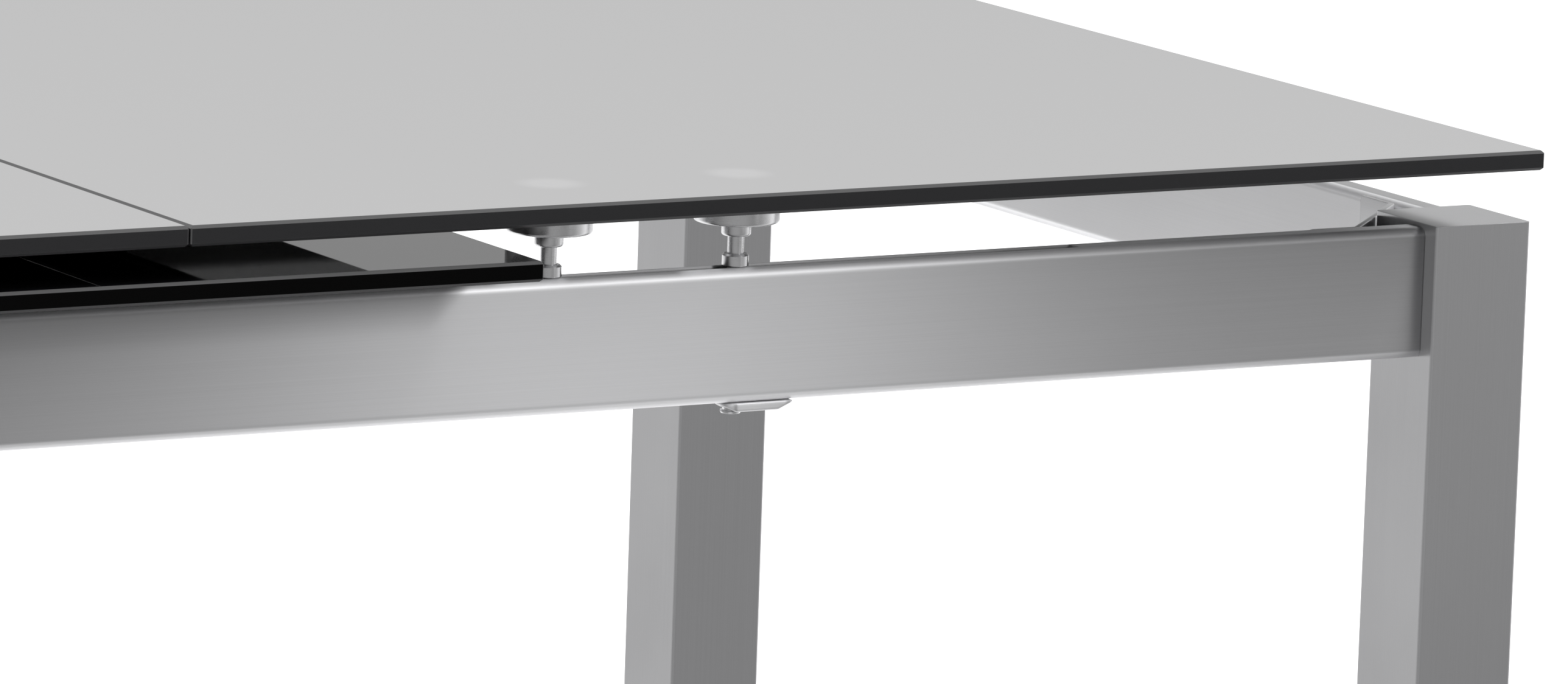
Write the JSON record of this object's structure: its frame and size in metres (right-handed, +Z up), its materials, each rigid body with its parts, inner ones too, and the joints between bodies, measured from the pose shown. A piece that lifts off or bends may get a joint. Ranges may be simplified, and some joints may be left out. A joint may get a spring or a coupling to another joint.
{
  "type": "extending dining table",
  "caption": "Extending dining table: black glass halves on steel posts slide apart on a brushed square-tube frame, over an extension leaf stored below.",
  "frame": {"origin": "on the floor, below the centre of the closed table", "axes": "+X along the table towards its right end, -Y towards the front, +Z up"},
  "size_m": [1.542, 0.9, 0.75],
  "materials": {
    "black_glass": "polished, black tinted, opaque",
    "brushed_steel": "brushed lengthways",
    "bright_steel": "turned and polished",
    "zinc_steel": "zinc plated",
    "spring_steel": "oiled",
    "black_plastic": "moulded, matt",
    "rubber": "matt",
    "clear_pvc": "clear"
  },
  "bodies": {
    "frame": {"leg_fl": "brushed_steel", "leg_fr": "brushed_steel", "leg_bl": "brushed_steel", "leg_br": "brushed_steel", "rail_front": "brushed_steel", "rail_back": "brushed_steel", "rail_left": "brushed_steel", "rail_right": "brushed_steel", "corner_bracket_fl": "zinc_steel", "corner_bracket_fr": "zinc_steel", "corner_bracket_bl": "zinc_steel", "corner_bracket_br": "zinc_steel", "bracket_bolts": "bright_steel", "foot_glides": "black_plastic", "foot_pads": "rubber", "cross_beam_left": "brushed_steel", "cross_beam_right": "brushed_steel", "guide_bridges": "zinc_steel", "guide_bushes": "black_plastic", "bearing_blocks": "black_plastic", "beam_screws": "bright_steel", "leaf_bumpers": "rubber", "torsion_springs": "spring_steel"},
    "top_right": {"glass_right": "black_glass", "carriage_fr": "black_plastic", "carriage_br": "black_plastic", "posts_right": "bright_steel", "glass_discs_right": "bright_steel", "disc_collars_right": "bright_steel", "foot_collars_right": "bright_steel", "seam_buffers": "clear_pvc"},
    "top_left": {"glass_left": "black_glass", "carriage_fl": "black_plastic", "carriage_bl": "black_plastic", "posts_left": "bright_steel", "glass_discs_left": "bright_steel", "disc_collars_left": "bright_steel", "foot_collars_left": "bright_steel"},
    "leaf": {"leaf_glass": "black_glass", "lift_bar_front": "zinc_steel", "lift_bar_back": "zinc_steel", "leaf_pads": "zinc_steel", "guide_rods": "bright_steel"},
    "crank_right": {"crank_shaft_right": "bright_steel", "crank_arms_right": "zinc_steel"},
    "crank_left": {"crank_shaft_left": "bright_steel", "crank_arms_left": "zinc_steel"},
    "lock_fl": {"lock_lever_fl": "zinc_steel", "lock_bolt_fl": "bright_steel"},
    "lock_fr": {"lock_lever_fr": "zinc_steel", "lock_bolt_fr": "bright_steel"},
    "lock_bl": {"lock_lever_bl": "zinc_steel", "lock_bolt_bl": "bright_steel"},
    "lock_br": {"lock_lever_br": "zinc_steel", "lock_bolt_br": "bright_steel"}
  },
  "joints": [
    {"name": "slide_right", "type": "slide", "parent": "frame", "child": "top_right", "axis": [1, 0, 0], "range_m": [0, 0.187]},
    {"name": "slide_left", "type": "slide", "parent": "frame", "child": "top_left", "axis": [-1, 0, 0], "range_m": [0, 0.187]},
    {"name": "leaf_lift", "type": "slide", "parent": "frame", "child": "leaf", "axis": [0, 0, 1], "range_m": [0, 0.0157]},
    {"name": "crank_turn_right", "type": "hinge", "parent": "frame", "child": "crank_right", "pos_m": [0.06, 0, 0.6908], "axis": [0, -1, 0], "range_deg": [0, 15.2]},
    {"name": "crank_turn_left", "type": "hinge", "parent": "frame", "child": "crank_left", "pos_m": [-0.06, 0, 0.6908], "axis": [0, 1, 0], "range_deg": [0, 15.2]},
    {"name": "lock_turn_fl", "type": "hinge", "parent": "top_left", "child": "lock_fl", "pos_m": [-0.324, -0.39, 0.6388], "axis": [0, 0, 1], "range_deg": [0, 90]},
    {"name": "lock_turn_fr", "type": "hinge", "parent": "top_right", "child": "lock_fr", "pos_m": [0.324, -0.39, 0.6388], "axis": [0, 0, -1], "range_deg": [0, 90]},
    {"name": "lock_turn_bl", "type": "hinge", "parent": "top_left", "child": "lock_bl", "pos_m": [-0.324, 0.39, 0.6388], "axis": [0, 0, -1], "range_deg": [0, 90]},
    {"name": "lock_turn_br", "type": "hinge", "parent": "top_right", "child": "lock_br", "pos_m": [0.324, 0.39, 0.6388], "axis": [0, 0, 1], "range_deg": [0, 90]}
  ],
  "couplings": [
    {"joint": "crank_turn_right", "follows": "leaf_lift", "rad_per_m": 16.78},
    {"joint": "crank_turn_left", "follows": "leaf_lift", "rad_per_m": 16.78}
  ]
}
